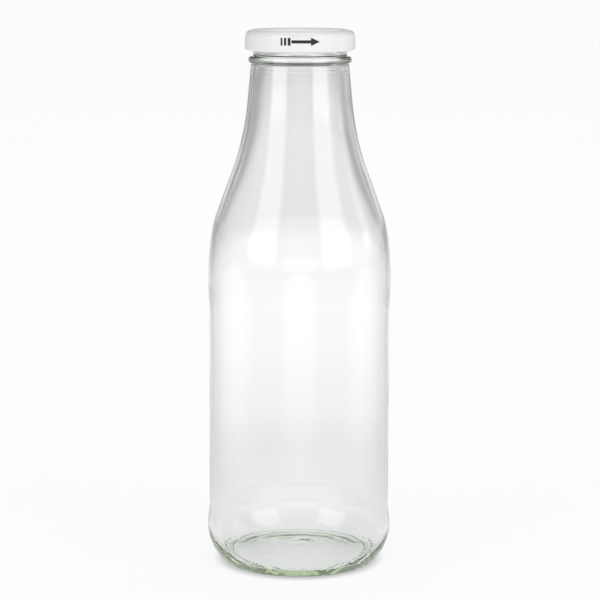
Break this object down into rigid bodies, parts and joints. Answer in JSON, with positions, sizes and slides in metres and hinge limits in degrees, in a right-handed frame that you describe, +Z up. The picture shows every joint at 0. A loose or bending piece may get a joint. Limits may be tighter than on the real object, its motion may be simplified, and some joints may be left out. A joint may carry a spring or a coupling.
{
  "type": "glass milk bottle",
  "caption": "Clear glass milk bottle with a sloping shoulder, wide mouth and threaded finish, closed by a white tinplate lug lid with its sealing ring.",
  "frame": {"origin": "on the bottle's axis, in the plane of the bearing ring that it stands on", "axes": "+Z up along the bottle's axis, towards the lid; +X to the right and -Y towards the viewer, with four identical threads at 0, 90, 180 and 270 degrees"},
  "size_m": [0.0878, 0.0878, 0.2541],
  "materials": {
    "clear_glass": "clear blown glass with a faint green tint in thick places",
    "sealing_compound": "matt off-white sealing compound",
    "white_tinplate": "glossy white enamel on tinplate"
  },
  "bodies": {
    "bottle": {"glass_bottle": "clear_glass"},
    "seal": {"sealing_ring": "sealing_compound"},
    "lid": {"lid_shell": "white_tinplate"}
  },
  "joints": [
    {"name": "lid_rise", "type": "slide", "parent": "bottle", "child": "seal", "axis": [0, 0, 1], "range_m": [0, 0.012]},
    {"name": "lid_twist", "type": "hinge", "parent": "seal", "child": "lid", "pos_m": [0, 0, 0.249], "axis": [0, 0, 1], "range_deg": [0, 270]}
  ],
  "couplings": [
    {"joint": "lid_rise", "follows": "lid_twist", "m_per_rad": 0.0025464}
  ]
}
